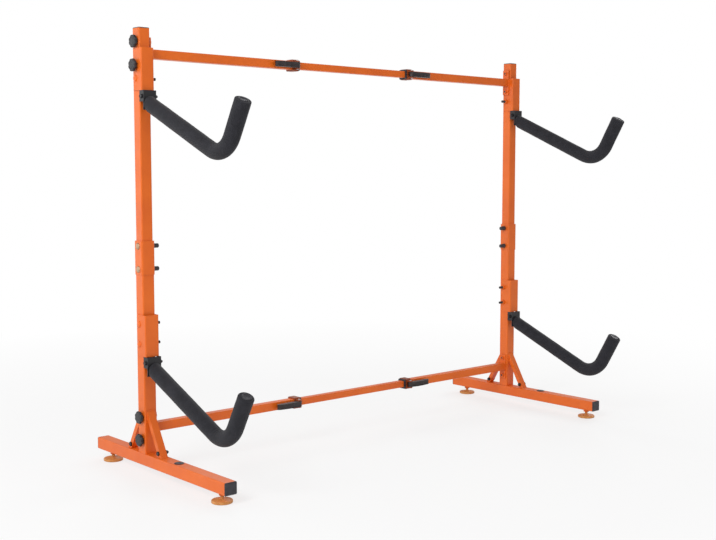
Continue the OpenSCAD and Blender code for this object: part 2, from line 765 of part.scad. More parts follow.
foot_node("left");  // left_foot
foot_node("right");  // right_foot
post_stub_node("left");  // left_post_stub
post_stub_node("right");  // right_post_stub
braces_node("left");  // left_braces
braces_node("right");  // right_braces
lower_post_node("left");  // left_lower_post
lower_post_node("right");  // right_lower_post
upper_post_node("left");  // left_upper_post
upper_post_node("right");  // right_upper_post
sleeve_node("left");  // left_splice_sleeve
sleeve_node("right");  // right_splice_sleeve
upper_bracket_node("left");  // left_upper_bracket
lower_bracket_node("left");  // left_lower_bracket
upper_bracket_node("right");  // right_upper_bracket
lower_bracket_node("right");  // right_lower_bracket
upper_arm_node("left");  // left_upper_arm
lower_arm_node("left");  // left_lower_arm
upper_arm_node("right");  // right_upper_arm
lower_arm_node("right");  // right_lower_arm
upper_foam_node("left");  // left_upper_foam
lower_foam_node("left");  // left_lower_foam
upper_foam_node("right");  // right_upper_foam
lower_foam_node("right");  // right_lower_foam
upper_rail_node("left");  // left_upper_rail
lower_rail_node("left");  // left_lower_rail
upper_rail_node("right");  // right_upper_rail
lower_rail_node("right");  // right_lower_rail
centre_tube_node(high_rail_z);  // upper_centre_tube
centre_tube_node(low_rail_z);  // lower_centre_tube
bushes_node("left");  // left_rail_bushes
bushes_node("right");  // right_rail_bushes
collars_node("left");  // left_clamp_collars
collars_node("right");  // right_clamp_collars
lever_pins_node("left");  // left_lever_pins
lever_pins_node("right");  // right_lever_pins
lever_node("left", high_rail_z);  // left_upper_lever
lever_node("left", low_rail_z);  // left_lower_lever
lever_node("right", high_rail_z);  // right_upper_lever
lever_node("right", low_rail_z);  // right_lower_lever
knob_node(1);  // left_knob_1
knob_node(2);  // left_knob_2
knob_node(3);  // left_knob_3
knob_node(4);  // left_knob_4
rail_bolts_node();  // right_rail_bolts
levelling_foot_node("left", -pad_front);  // left_front_levelling_foot
levelling_foot_node("left", pad_rear);  // left_rear_levelling_foot
levelling_foot_node("right", -pad_front);  // right_front_levelling_foot
levelling_foot_node("right", pad_rear);  // right_rear_levelling_foot
carriage_bolts_node("left");  // left_carriage_bolts
carriage_bolts_node("right");  // right_carriage_bolts
hex_bolts_node("left");  // left_hex_bolts
hex_bolts_node("right");  // right_hex_bolts
lock_nuts_node("left");  // left_lock_nuts
lock_nuts_node("right");  // right_lock_nuts
end_plugs_node("left");  // left_end_plugs
end_plugs_node("right");  // right_end_plugs
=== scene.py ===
import json
import math

import bmesh
import bpy
from mathutils import Matrix, Vector, noise


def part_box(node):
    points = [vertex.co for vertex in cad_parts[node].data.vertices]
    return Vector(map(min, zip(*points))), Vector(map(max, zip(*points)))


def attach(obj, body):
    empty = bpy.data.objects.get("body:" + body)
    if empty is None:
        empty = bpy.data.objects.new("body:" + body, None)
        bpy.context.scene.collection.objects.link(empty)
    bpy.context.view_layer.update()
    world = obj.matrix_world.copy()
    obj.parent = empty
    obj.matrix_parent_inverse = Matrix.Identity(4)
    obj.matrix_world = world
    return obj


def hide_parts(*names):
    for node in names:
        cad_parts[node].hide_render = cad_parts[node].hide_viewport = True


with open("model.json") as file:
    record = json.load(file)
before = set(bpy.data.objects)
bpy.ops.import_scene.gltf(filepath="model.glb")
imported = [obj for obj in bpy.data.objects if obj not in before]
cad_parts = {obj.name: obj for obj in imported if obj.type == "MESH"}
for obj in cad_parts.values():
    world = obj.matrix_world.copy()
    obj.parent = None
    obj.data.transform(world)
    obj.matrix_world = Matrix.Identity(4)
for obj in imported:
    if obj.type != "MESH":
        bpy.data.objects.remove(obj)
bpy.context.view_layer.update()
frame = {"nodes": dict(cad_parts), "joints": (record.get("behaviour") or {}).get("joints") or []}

# Lengths are in metres. Left is -X, the hooks point to -Y, and Z is up. Whatever both
# sides have is drawn on the left and mirrored in X = 0 for the right.
MM = 0.001
SIDES = ("left", "right")
LEVELS = ("upper", "lower")

# ---------------------------------------------------------------- materials


class Nodes:
    """Adds and links the nodes of one material, with textures in the object's metres."""

    def __init__(self, name):
        self.mat = bpy.data.materials.new(name)
        self.mat.use_nodes = True
        self.tree = self.mat.node_tree
        self.shader = self.tree.nodes["Principled BSDF"]
        self.coord = self.add("ShaderNodeTexCoord").outputs["Object"]

    def add(self, kind, **values):
        node = self.tree.nodes.new(kind)
        for key, value in values.items():
            setattr(node, key, value)
        return node

    def link(self, a, b):
        self.tree.links.new(a, b)

    def stretch(self, scale):
        """The object's own coordinates, scaled along each axis."""
        node = self.add("ShaderNodeMapping")
        node.inputs["Scale"].default_value = scale
        self.link(self.coord, node.inputs["Vector"])
        return node.outputs["Vector"]

    def noise(self, scale, detail=2.0, rough=0.5, at=None):
        """Cloudy noise from 0 to 1, with about scale blobs to the metre."""
        node = self.add("ShaderNodeTexNoise")
        node.inputs["Scale"].default_value = scale
        node.inputs["Detail"].default_value = detail
        node.inputs["Roughness"].default_value = rough
        self.link(at or self.coord, node.inputs["Vector"])
        return node.outputs["Fac"]

    def cells(self, scale, at=None):
        """Distance to the nearest of a scatter of points, for pores and grain."""
        node = self.add("ShaderNodeTexVoronoi")
        node.inputs["Scale"].default_value = scale
        self.link(at or self.coord, node.inputs["Vector"])
        return node.outputs["Distance"]

    def ramp(self, value, low, high, to_low=0.0, to_high=1.0):
        """Maps low..high to to_low..to_high and holds the ends."""
        node = self.add("ShaderNodeMapRange")
        for key, number in (("From Min", low), ("From Max", high),
                            ("To Min", to_low), ("To Max", to_high)):
            node.inputs[key].default_value = number
        self.link(value, node.inputs["Value"])
        return node.outputs["Result"]

    def math(self, kind, a, b):
        node = self.add("ShaderNodeMath", operation=kind)
        for socket, value in zip(node.inputs, (a, b)):
            if isinstance(value, (int, float)):
                socket.default_value = value
            else:
                self.link(value, socket)
        return node.outputs[0]

    def mix(self, share, a, b):
        """Colour a where share is 0 and b where it is 1."""
        node = self.add("ShaderNodeMix", data_type="RGBA")
        self.link(share, node.inputs["Factor"])
        for socket, value in ((node.inputs["A"], a), (node.inputs["B"], b)):
            if isinstance(value, (tuple, list)):
                socket.default_value = (*value, 1)
            else:
                self.link(value, socket)
        return node.outputs["Result"]

    def edges(self, radius):
        """Near 1 along edges, broken up as real wear is."""
        bevel = self.add("ShaderNodeBevel", samples=4)
        bevel.inputs["Radius"].default_value = radius
        geometry = self.add("ShaderNodeNewGeometry")
        dot = self.add("ShaderNodeVectorMath", operation="DOT_PRODUCT")
        self.link(bevel.outputs["Normal"], dot.inputs[0])
        self.link(geometry.outputs["Normal"], dot.inputs[1])
        edge = self.ramp(dot.outputs["Value"], 0.99, 0.8)
        return self.math("MULTIPLY", edge, self.ramp(self.noise(45, 4), 0.42, 0.62))

    def colour(self, value):
        self.link(value, self.shader.inputs["Base Color"])

    def roughness(self, value):
        self.link(value, self.shader.inputs["Roughness"])

    def bumps(self, *layers, edge=0.0):
        """Layers of (height, strength, distance in metres); edge rounds the corners."""
        normal = None
        if edge:
            bevel = self.add("ShaderNodeBevel", samples=4)
            bevel.inputs["Radius"].default_value = edge
            normal = bevel.outputs["Normal"]
        for height, strength, distance in layers:
            node = self.add("ShaderNodeBump")
            node.inputs["Strength"].default_value = strength
            node.inputs["Distance"].default_value = distance
            self.link(height, node.inputs["Height"])
            if normal:
                self.link(normal, node.inputs["Normal"])
            normal = node.outputs["Normal"]
        self.link(normal, self.shader.inputs["Normal"])

    def set(self, **values):
        """Sets the shader's own sockets and gives the finished material."""
        for key, value in values.items():
            self.shader.inputs[key.replace("_", " ")].default_value = value
        return self.mat


def powder_coat(name, deep, bright, worn, rough):
    """Sprayed and baked paint: orange peel, slow drifts of tone, thin paint on edges."""
    n = Nodes(name)
    drift = n.ramp(n.noise(5, 3, 0.6), 0.35, 0.65)
    tone = n.mix(drift, deep, bright)
    grain = n.ramp(n.noise(900, 2), 0.3, 0.7, 0.0, 0.12)
    tone = n.mix(grain, tone, tuple(c * 0.55 for c in deep))
    n.colour(n.mix(n.math("MULTIPLY", n.edges(1.1 * MM), 0.55), tone, worn))
    n.roughness(n.ramp(n.noise(30, 4), 0.3, 0.7, rough - 0.05, rough + 0.08))
    n.bumps((n.noise(420, 2), 0.22, 0.35 * MM), (n.noise(2600, 1), 0.10, 0.06 * MM),
            edge=0.8 * MM)
    return n.set(Coat_Weight=0.10, Coat_Roughness=0.28, Specular_IOR_Level=0.35)


def foam_rubber(name):
    """Closed-cell foam: a matt, slightly cloudy skin with fine pores, darkened in their pits as
    painted shade, and pale flecks.
    """
    n = Nodes(name)
    cloud = n.ramp(n.noise(38, 5, 0.65), 0.35, 0.65)
    tone = n.mix(cloud, (0.013, 0.013, 0.017), (0.024, 0.024, 0.030))
    pores = n.ramp(n.cells(620), 0.05, 0.38)
    # The pores' centres are darkened toward near black: painted shade in the pits.
    tone = n.mix(n.ramp(pores, 0.0, 1.0, 0.55, 0.0), tone, (0.006, 0.006, 0.008))
    flecks = n.ramp(n.noise(1500, 2), 0.64, 0.78, 0.0, 0.45)
    n.colour(n.mix(flecks, tone, (0.070, 0.069, 0.082)))
    n.roughness(n.ramp(cloud, 0.0, 1.0, 0.78, 0.93))
    n.bumps((n.noise(120, 4, 0.6), 0.35, 0.9 * MM), (pores, 0.55, 0.35 * MM),
            (n.noise(1500, 2), 0.35, 0.15 * MM))
    return n.set(Sheen_Weight=0.08, Sheen_Roughness=0.55, Specular_IOR_Level=0.20)


def moulded_plastic(name, dark, light, rough, edge=0.5):
    """Injection-moulded plastic with a spark-eroded grain, paler where it is rubbed."""
    n = Nodes(name)
    tone = n.mix(n.ramp(n.noise(60, 4), 0.35, 0.65), dark, light)
    rubbed = tuple(min(1, c * 2.2 + 0.02) for c in light)
    n.colour(n.mix(n.math("MULTIPLY", n.edges(0.8 * MM), edge), tone, rubbed))
    n.roughness(n.ramp(n.noise(90, 4), 0.3, 0.7, rough - 0.06, rough + 0.08))
    n.bumps((n.noise(1400, 3), 0.25, 0.12 * MM), (n.cells(900), 0.12, 0.10 * MM))
    return n.set(Specular_IOR_Level=0.40)


def plated_steel(name, dull, bright, rough):
    """Plated or blackened steel: soft mottling and fine turning marks."""
    n = Nodes(name)
    mottle = n.ramp(n.noise(260, 5, 0.7), 0.3, 0.7)
    n.colour(n.mix(mottle, dull, bright))
    n.roughness(n.ramp(n.noise(500, 3), 0.3, 0.7, rough - 0.08, rough + 0.10))
    marks = n.noise(400, 2, at=n.stretch((9, 1, 1)))
    n.bumps((marks, 0.18, 0.08 * MM), (n.noise(1800, 2), 0.15, 0.05 * MM))
    return n.set(Metallic=1.0)


ORANGE = powder_coat("orange_powder_coat", (0.72, 0.122, 0.008), (0.80, 0.150, 0.010),
                     (0.92, 0.34, 0.12), 0.38)
# The collars are the orange coat darkened to a brown: painted shade, as if they stood in shadow.
COLLAR_PAINTED_SHADE = powder_coat("collar_orange_painted_shade", (0.235, 0.042, 0.008), (0.30, 0.058, 0.011),
                     (0.50, 0.16, 0.06), 0.42)
ARM = powder_coat("arm_black_paint", (0.012, 0.012, 0.014), (0.020, 0.019, 0.022),
                  (0.09, 0.09, 0.10), 0.45)
FOAM = foam_rubber("charcoal_foam")
PLUG = moulded_plastic("plug_black_plastic", (0.024, 0.023, 0.028), (0.040, 0.039, 0.047), 0.48)
KNOB = moulded_plastic("knob_grey_plastic", (0.022, 0.021, 0.024), (0.038, 0.036, 0.039), 0.46)
LEVER = moulded_plastic("lever_black_plastic", (0.016, 0.012, 0.013), (0.030, 0.021, 0.021),
                        0.42)
PAD = moulded_plastic("pad_tan_plastic", (0.52, 0.205, 0.050), (0.64, 0.285, 0.085), 0.50, 0.3)
ZINC = plated_steel("zinc_steel", (0.50, 0.50, 0.51), (0.72, 0.72, 0.73), 0.33)
PASSIVATED = plated_steel("passivated_steel", (0.44, 0.28, 0.17), (0.60, 0.41, 0.27), 0.46)
DARK = plated_steel("dark_steel", (0.035, 0.033, 0.036), (0.085, 0.080, 0.084), 0.42)

# The first word found in a node's name gives its material; all else is orange.
LOOKS = (("arm", ARM), ("foam", FOAM), ("collars", COLLAR_PAINTED_SHADE), ("lever_pins", ZINC),
         ("levelling", PAD), ("lever", LEVER), ("knob", KNOB), ("plugs", PLUG),
         ("bushes", PLUG), ("carriage", PASSIVATED), ("hex_bolts", DARK),
         ("lock_nuts", DARK), ("rail_bolts", DARK))

for node, obj in frame["nodes"].items():
    obj.data.materials.clear()
    obj.data.materials.append(next((look for word, look in LOOKS if word in node), ORANGE))

# ---------------------------------------------------------------- mesh helpers


def in_mm(points):
    """Pairs of millimetres, in metres."""
    return [(a * MM, b * MM) for a, b in points]


class Solid:
    """Collects closed shells and makes one piece of them."""

    def __init__(self):
        self.verts, self.faces = [], []

    def add(self, verts, faces, at=Matrix()):
        first = len(self.verts)
        self.verts += [at @ Vector(v) for v in verts]
        self.faces += [[first + i for i in face] for face in faces]

    def lathe(self, profile, at, around=48, shape=None, loop=False):
        """A solid turned about local Z. profile is (radius, height) from one end on the axis
        to the other, or a closed loop off it. shape(angle, radius, height) may change the
        radius."""
        verts, faces, rings = [], [], []
        for r, h in profile:
            if r < 1e-7:
                rings.append([len(verts)] * around)
                verts.append((0, 0, h))
                continue
            rings.append(list(range(len(verts), len(verts) + around)))
            for i in range(around):
                a = math.tau * i / around
                radius = shape(a, r, h) if shape else r
                verts.append((radius * math.cos(a), radius * math.sin(a), h))
        for low, high in zip(rings, rings[1:] + rings[:1] if loop else rings[1:]):
            for i in range(around):
                j = (i + 1) % around
                face = list(dict.fromkeys((low[i], low[j], high[j], high[i])))
                if len(face) > 2:
                    faces.append(face)
        self.add(verts, faces, at)

    def loft(self, rings, closed=False, at=Matrix()):
        """Joins rings of equal count; the ends are capped unless the loft is a loop."""
        count = len(rings[0])
        verts = [v for ring in rings for v in ring]
        pairs = list(zip(range(len(rings)), range(1, len(rings))))
        if closed:
            pairs.append((len(rings) - 1, 0))
        faces = [[a * count + i, a * count + (i + 1) % count,
                  b * count + (i + 1) % count, b * count + i]
                 for a, b in pairs for i in range(count)]
        if not closed:
            faces.append(list(range(count))[::-1])
            faces.append([(len(rings) - 1) * count + i for i in range(count)])
        self.add(verts, faces, at)

    def piece(self, name, body, material, slot, nodes=(), sharp=38, mirror=False):
        """Makes a scene object of the shells, on a body and in place of CAD nodes. Edges
        over sharp degrees stay crisp."""
        flip = -1 if mirror else 1
        mesh = bpy.data.meshes.new(name)
        mesh.from_pydata([(flip * v.x, v.y, v.z) for v in self.verts], [], self.faces)
        bm = bmesh.new()
        bm.from_mesh(mesh)
        bmesh.ops.recalc_face_normals(bm, faces=bm.faces)
        bm.to_mesh(mesh)
        bm.free()
        obj = bpy.data.objects.new(name, mesh)
        bpy.context.scene.collection.objects.link(obj)
        mesh.shade_smooth()
        mesh.set_sharp_from_angle(angle=math.radians(sharp))
        mesh.materials.append(material)
        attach(obj, body)
        if nodes:
            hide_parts(*nodes)
        return obj


def islands(node):
    """The box of each separate solid of a CAD node, as (lowest, highest) corners."""
    bm = bmesh.new()
    bm.from_mesh(frame["nodes"][node].data)
    bmesh.ops.remove_doubles(bm, verts=bm.verts, dist=0.01 * MM)
    left, found = set(bm.verts), []
    while left:
        stack, group = [left.pop()], []
        while stack:
            v = stack.pop()
            group.append(v.co.copy())
            for edge in v.link_edges:
                other = edge.other_vert(v)
                if other in left:
                    left.discard(other)
                    stack.append(other)
        found.append((Vector(map(min, zip(*group))), Vector(map(max, zip(*group)))))
    bm.free()
    return sorted(found, key=lambda b: (round(b[0].z, 4), round(b[0].y, 4)))


def middle(box):
    """The centre of a box of two corners."""
    return (box[0] + box[1]) / 2


def rounded(points, radius, steps=3):
    """A profile with every corner between its ends rounded; points are (radius, height)."""
    out = [points[0]]
    for before, here, after in zip(points, points[1:], points[2:]):
        a, b, c = (Vector(p) for p in (before, here, after))
        to_a, to_c = a - b, c - b
        r = min(radius, to_a.length * 0.45, to_c.length * 0.45)
        start, end = b + to_a.normalized() * r, b + to_c.normalized() * r
        for k in range(steps + 1):
            t = k / steps
            p = start.lerp(b, t).lerp(b.lerp(end, t), t)
            out.append((p.x, p.y))
    return out + [points[-1]]


def thread(low, high, radius, pitch):
    """Rings of a turned thread between two heights, six to the pitch."""
    count = max(2, round((high - low) / (pitch / 6)))
    return [(radius, low + (high - low) * k / count) for k in range(count + 1)]


def threaded(radius, pitch, depth, low, high):
    """The shape that cuts those rings to a helix, fading out at both ends."""
    def shape(angle, r, h):
        if r < radius - 0.001 * MM or not low <= h <= high:
            return r
        fade = min(1, (h - low) / pitch, (high - h) / pitch)
        wave = abs(((h / pitch - angle / math.tau) % 1) * 2 - 1)
        return r - depth * fade * wave
    return shape


TO_OUTSIDE = Matrix.Rotation(-math.pi / 2, 4, "Y")     # local +Z points along -X
TO_INSIDE = Matrix.Rotation(math.pi / 2, 4, "Y")       # local +Z points along +X


def across(box, x, turn):
    """A frame on the X axis of a fastener's box, its origin at x."""
    at = middle(box)
    return Matrix.Translation((x, at.y, at.z)) @ turn


# ---------------------------------------------------------------- foam sleeves

# The hook's measures are those of the CAD part.
ARM_SLOPE = math.radians(23.4)                  # the leg's fall below the horizontal
TIP_LEAN = math.radians(29)                     # the tip's lean away from the upright
BEND_R = 85 * MM
ARM_R = 12.5 * MM
ARM_REACH = 425 * MM                            # from the bracket's front to the corner
TIP_LEN = 193 * MM                              # from that corner to the tip
ARM_DROP = 39 * MM                              # from the bracket's lower edge to the root
ROOT_AHEAD = 11 * MM                            # from the bracket's front to the root plate's
FOAM_START = (ROOT_AHEAD + 3 * MM) / math.cos(ARM_SLOPE)     # along the centre line
FOAM_R = 25 * MM
BEND = math.pi / 2 - TIP_LEAN + ARM_SLOPE
BEND_LEN = BEND_R * BEND
BEND_RUN = BEND_R * math.tan(BEND / 2)          # from either end of the bend to the corner
LEG = ARM_REACH / math.cos(ARM_SLOPE) - BEND_RUN
HOOK_LEN = LEG + BEND_LEN + TIP_LEN - BEND_RUN


def hook_at(root, s):
    """Point, direction and inward normal of a hook's centre line, s along from its root."""
    along = Vector((0, -math.cos(ARM_SLOPE), -math.sin(ARM_SLOPE)))
    inward = Vector((0, -math.sin(ARM_SLOPE), math.cos(ARM_SLOPE)))
    if s <= LEG:
        return root + along * s, along, inward
    turn = min((s - LEG) / BEND_R, BEND)
    centre = root + along * LEG + inward * BEND_R
    normal = inward * math.cos(turn) - along * math.sin(turn)
    heading = along * math.cos(turn) + inward * math.sin(turn)
    point = centre - normal * BEND_R
    return point + heading * max(0.0, s - LEG - BEND_LEN), heading, normal


def foam_radius(s, angle, seed):
    """Radius of a sleeve: a little uneven, creased where the bend presses it together."""
    # Slimmer on the leg, fuller past the bend's start, and uneven at two scales.
    here = Vector((math.cos(angle) * FOAM_R, math.sin(angle) * FOAM_R, s))
    r = FOAM_R - 0.30 * MM + 0.75 * MM * min(1, max(0, (s - LEG) / (60 * MM)))
    r += 0.40 * MM * noise.noise(here / (38 * MM) + Vector((seed, 0, 0)))
    r += 0.14 * MM * noise.noise(here / (7 * MM) + Vector((0, seed, 0)))

    # Creases across the bend's inside, and a slight flattening of its outside.
    from_mid = s - LEG - BEND_LEN / 2
    near = max(0.0, 1 - (from_mid / (BEND_LEN / 2 + 12 * MM)) ** 4)
    inside = max(0.0, math.cos(angle)) ** 1.3
    wander = 2.2 * MM * noise.noise(Vector((seed * 3.1, angle * 1.3, s / (30 * MM))))
    wave = max(0.0, math.cos(math.tau * (from_mid + wander) / (13.5 * MM)))
    r += inside * near * (0.30 * MM * (1 - wave) - 1.15 * MM * wave ** 6)
    return r - 0.5 * MM * near * max(0.0, -math.cos(angle))


def foam_ring(root, s, radius, around=64):
    """Points round the centre line at s, radius(angle) from it. Toward the root the rings
    shear, so that the sleeve's end is an upright cut."""
    point, heading, normal = hook_at(root, s)
    sheared_len = 70 * MM
    shear = max(0.0, 1 - (s - FOAM_START) / sheared_len) * math.tan(ARM_SLOPE)
    ring = []
    for i in range(around):
        a = math.tau * i / around
        r = radius(a)
        out = normal * (r * math.cos(a)) + Vector((r * math.sin(a), 0, 0))
        ring.append(point - heading * (shear * r * math.cos(a)) + out)
    return ring


def foam_sleeve(root, seed):
    """A sleeve with rolled ends: its outside from root to tip, and back along its bore."""
    lip, bore = 2.6 * MM, ARM_R + 0.2 * MM
    start, end = FOAM_START + lip, HOOK_LEN - lip
    count, bore_count = round((end - start) / (2.4 * MM)), 70
    turns = [math.pi / 2 * k / 5 for k in range(6)]
    rolled = [(lip * math.sin(a), lip * (1 - math.cos(a))) for a in turns]
    outside = [(start - ahead, drop) for ahead, drop in reversed(rolled)]
    outside += [(start + (end - start) * k / count, 0.0) for k in range(1, count)]
    outside += [(end + ahead, drop) for ahead, drop in rolled]
    rings = [foam_ring(root, s, lambda a: foam_radius(s, a, seed) - drop)
             for s, drop in outside]
    for k in range(bore_count + 1):
        s = HOOK_LEN - (HOOK_LEN - FOAM_START) * k / bore_count
        rings.append(foam_ring(root, s, lambda a: bore))
    solid = Solid()
    solid.loft(rings, closed=True)
    return solid


def tip_cap(root):
    """Plastic cap on the sleeve's end, with a raised rim round a shallow dish."""
    point, heading = hook_at(root, HOOK_LEN)[:2]
    at = Matrix.Translation(point) @ heading.to_track_quat("Z", "Y").to_matrix().to_4x4()
    solid = Solid()
    profile = [(0, -11.5), (8, -11.5), (9.6, -9.5), (9.6, 0.05), (15.9, 0.05), (15.9, 1.5),
               (14.6, 2.9), (11.2, 2.9), (10.2, 1.9), (2.6, 1.5), (2.0, 1.0), (0, 0.9)]
    solid.lathe(in_mm(rounded(profile, 0.7)), at)
    return solid


for side in SIDES:
    mirror = side == "right"
    for level in LEVELS:
        low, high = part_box(f"left_{level}_bracket")
        root = Vector(((low.x + high.x) / 2, low.y, low.z - ARM_DROP))
        seed = 1.7 + 2.3 * LEVELS.index(level) + 5.9 * mirror    # its own for each sleeve
        sleeve = foam_sleeve(root, seed).piece(
            f"{side}_{level}_foam_sleeve", f"{side}_frame", FOAM, "foam",
            [f"{side}_{level}_foam"], sharp=60, mirror=mirror)
        tip_cap(root).piece(f"{side}_{level}_tip_cap", f"{side}_frame", PLUG, "black_plastic",
                            [f"{side}_end_plugs"], mirror=mirror)

# ---------------------------------------------------------------- plugs and caps


def outline(w, h, r, steps=6):
    """A rectangle with round corners of radius r, as points in order."""
    points = []
    for k, (sx, sy) in enumerate(((1, 1), (-1, 1), (-1, -1), (1, -1))):
        for i in range(steps + 1):
            a = math.pi / 2 * (k + i / steps)
            points.append((sx * (w / 2 - r) + r * math.cos(a),
                           sy * (h / 2 - r) + r * math.sin(a)))
    return points


def tube_plug(w, h, at):
    """Domed plug for a tube's end, its ribbed skirt inside the tube."""
    # Each row, in mm: inset from the tube's outside, height, radius of the corners.
    steps = ((2.4, -11.5, 1.0), (2.1, -11.0, 1.0), (2.3, -8.0, 1.0), (2.1, -7.6, 1.0),
             (2.4, -5.0, 1.0), (2.4, 0.05, 1.0), (0.1, 0.05, 4.0), (0.05, 1.3, 4.0),
             (0.5, 2.2, 4.0), (1.6, 2.75, 3.6), (5.0, 2.95, 3.0), (11.0, 3.0, 2.0))
    rings = [[(x, y, height * MM)
              for x, y in outline(w - 2 * inset * MM, h - 2 * inset * MM, corner * MM)]
             for inset, height, corner in steps]
    solid = Solid()
    solid.loft(rings, at=at)
    return solid


def hole_plug(at):
    """Round plug with a shallow dish, its stepped neck in the foot's wall."""
    profile = [(0, -5.8), (9.5, -5.8), (11.6, -4.0), (11.8, -3.0), (11.6, 0.05), (15.9, 0.05),
               (15.9, 1.0), (14.4, 2.2), (10.5, 2.9), (4.0, 2.6), (3.2, 2.0), (0, 1.9)]
    solid = Solid()
    solid.lathe(in_mm(rounded(profile, 0.8)), at)
    return solid


foot_low, foot_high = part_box("left_foot")
post_low, post_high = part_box("left_upper_post")
POST_X = (post_low.x + post_high.x) / 2
POST_Y = (post_low.y + post_high.y) / 2
POST_W = 40 * MM
FOOT_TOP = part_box("left_post_stub")[0].z
FOOT_W, FOOT_H = foot_high.x - foot_low.x, 40 * MM
FOOT_MID = FOOT_TOP - FOOT_H / 2
HOLE_Y = next(middle(box).y for box in islands("left_end_plugs")
              if box[0].z < FOOT_TOP < box[1].z)


def plug_at(y, z, tilt=0):
    """A place in the left post's plane, its local +Z tilted toward +Y by tilt degrees."""
    return Matrix.Translation((POST_X, y, z)) @ Matrix.Rotation(math.radians(-tilt), 4, "X")


for side in SIDES:
    plugs = (
        ("front_foot_plug", tube_plug(FOOT_W, FOOT_H, plug_at(foot_low.y, FOOT_MID, -90))),
        ("rear_foot_plug", tube_plug(FOOT_W, FOOT_H, plug_at(foot_high.y, FOOT_MID, 90))),
        ("post_cap", tube_plug(POST_W, POST_W, plug_at(POST_Y, post_high.z))),
        ("hole_plug", hole_plug(plug_at(HOLE_Y, FOOT_TOP))),
    )
    for name, solid in plugs:
        solid.piece(f"{side}_{name}", f"{side}_frame", PLUG, "black_plastic",
                    [f"{side}_end_plugs"], mirror=side == "right")

# ---------------------------------------------------------------- clamp knobs

KNOB_HEAD = 15 * MM                 # neck and head, from the base to the outer face


def knob(box):
    """Eight-lobed hand knob: soft flutes, a dished face with a centre disc, and its stud."""
    low, high = box
    base = low.x + KNOB_HEAD
    at = across(box, base, TO_OUTSIDE)
    profile = [(0, 0), (4.1, 0), (11.0, 0), (11.0, 0.8), (9.4, 3.2), (10.5, 4.3),
               (17.5, 4.4), (20.4, 5.6), (20.95, 7.6), (20.95, 11.0), (20.2, 13.2),
               (17.0, 14.7), (13.2, 14.9), (12.4, 14.1), (11.6, 14.1), (10.9, 14.7),
               (5.0, 14.95), (0, 14.95)]

    def flutes(angle, r, _):
        """Eight flutes that deepen from the disc's edge to the rim."""
        count, depth = 8, 3.1 * MM
        share = min(1.0, max(0.0, (r - 12.6 * MM) / (8.2 * MM)))
        return r - depth * share * (0.5 + 0.5 * math.cos(count * angle)) ** 2.2

    solid = Solid()
    solid.lathe(in_mm(rounded(profile, 1.2, 4)), at, 128, flutes)
    stud_r, root, tail = 4 * MM, -0.2 * MM, base - high.x
    solid.lathe([(0, root), (stud_r, root), (stud_r, tail + 0.6 * MM),
                 (stud_r - 0.6 * MM, tail), (0, tail)], at, 32)
    return solid


for number in range(1, 5):
    knob(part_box(f"left_knob_{number}")).piece(
        f"left_knob_{number}_detail", f"left_knob_{number}_body", KNOB, "knob_plastic",
        [f"left_knob_{number}"], sharp=50)

# ---------------------------------------------------------------- cam levers

hinges = {j["name"]: Vector(j["pos_m"]) for j in frame["joints"] if j["name"].endswith("hinge")}


def lever(pin, box):
    """Moulded lever: a hub, a curved back with grip ribs, and a blunt finger end."""
    low, high = box
    length, tall = pin.x - low.x, (high.z - low.z) / MM
    hub, finger, blunt, bulge = 9 * MM, 7 * MM, 5 * MM, 5 * MM
    rib_pitch, rib_depth, steps = 4 * MM, 0.8 * MM, 80
    edge = []                                   # the outline: back, finger end, front, hub
    for i in range(1, steps + 1):
        t = i / steps
        grip = min(1, max(0, min(t - 0.36, 0.90 - t) / 0.04))
        groove = rib_depth * grip * (0.5 - 0.5 * math.cos(math.tau * t * length / rib_pitch))
        edge.append((-t * (length - blunt),
                     -hub + t * (hub - finger) - bulge * math.sin(math.pi * t) + groove))
    edge += [(-length, -3 * MM), (-length, 2 * MM), (-length + blunt, 5 * MM)]
    edge += in_mm([(-60, 5.2), (-30, 5.4), (-11, 6.2)])
    for i in range(13):
        a = math.radians(125 - i * 215 / 12)
        edge.append((hub * math.cos(a), hub * math.sin(a)))
    inward = []
    for k in range(len(edge)):
        along = (Vector(edge[(k + 1) % len(edge)]) - Vector(edge[k - 1])).normalized()
        inward.append(Vector((-along.y, along.x)))
    rings = []
    for height, inset in ((0, 1.3), (0.25, 0.5), (1.2, 0.0), (tall - 1.2, 0.0),
                          (tall - 0.25, 0.5), (tall, 1.3)):
        ring = [Vector(p) + way * inset * MM for p, way in zip(edge, inward)]
        rings.append([(pin.x + q.x, pin.y + q.y, low.z + height * MM) for q in ring])
    solid = Solid()
    solid.loft(rings)
    return solid


for side in SIDES:
    for level in LEVELS:
        node = f"{side}_{level}_lever"
        lever(hinges[f"left_{level}_lever_hinge"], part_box(f"left_{level}_lever")).piece(
            f"{node}_detail", f"{node}_body", LEVER, "lever_plastic", [node],
            sharp=42, mirror=side == "right")

# ---------------------------------------------------------------- levelling feet


def foot_pad(box):
    """Round pad with a ribbed rim and a domed hub."""
    profile = [(0, 0), (31.2, 0), (32.9, 1.2), (32.95, 7.2), (31.8, 8.9), (28.6, 9.4),
               (27.2, 8.6), (19.5, 9.2), (16.0, 10.2), (13.6, 11.3), (12.0, 11.8),
               (10.5, 12.0), (0, 12.0)]

    def ribs(angle, r, _):
        """Narrow grooves across the rim alone."""
        count, depth = 36, 0.45 * MM
        share = min(1.0, max(0.0, (r - 30.5 * MM) / (1.5 * MM)))
        return r - depth * share * (0.5 - 0.5 * math.cos(count * angle)) ** 3

    solid, at = Solid(), middle(box)
    solid.lathe(in_mm(rounded(profile, 1.0)), Matrix.Translation((at.x, at.y, 0)), 216, ribs)
    return solid


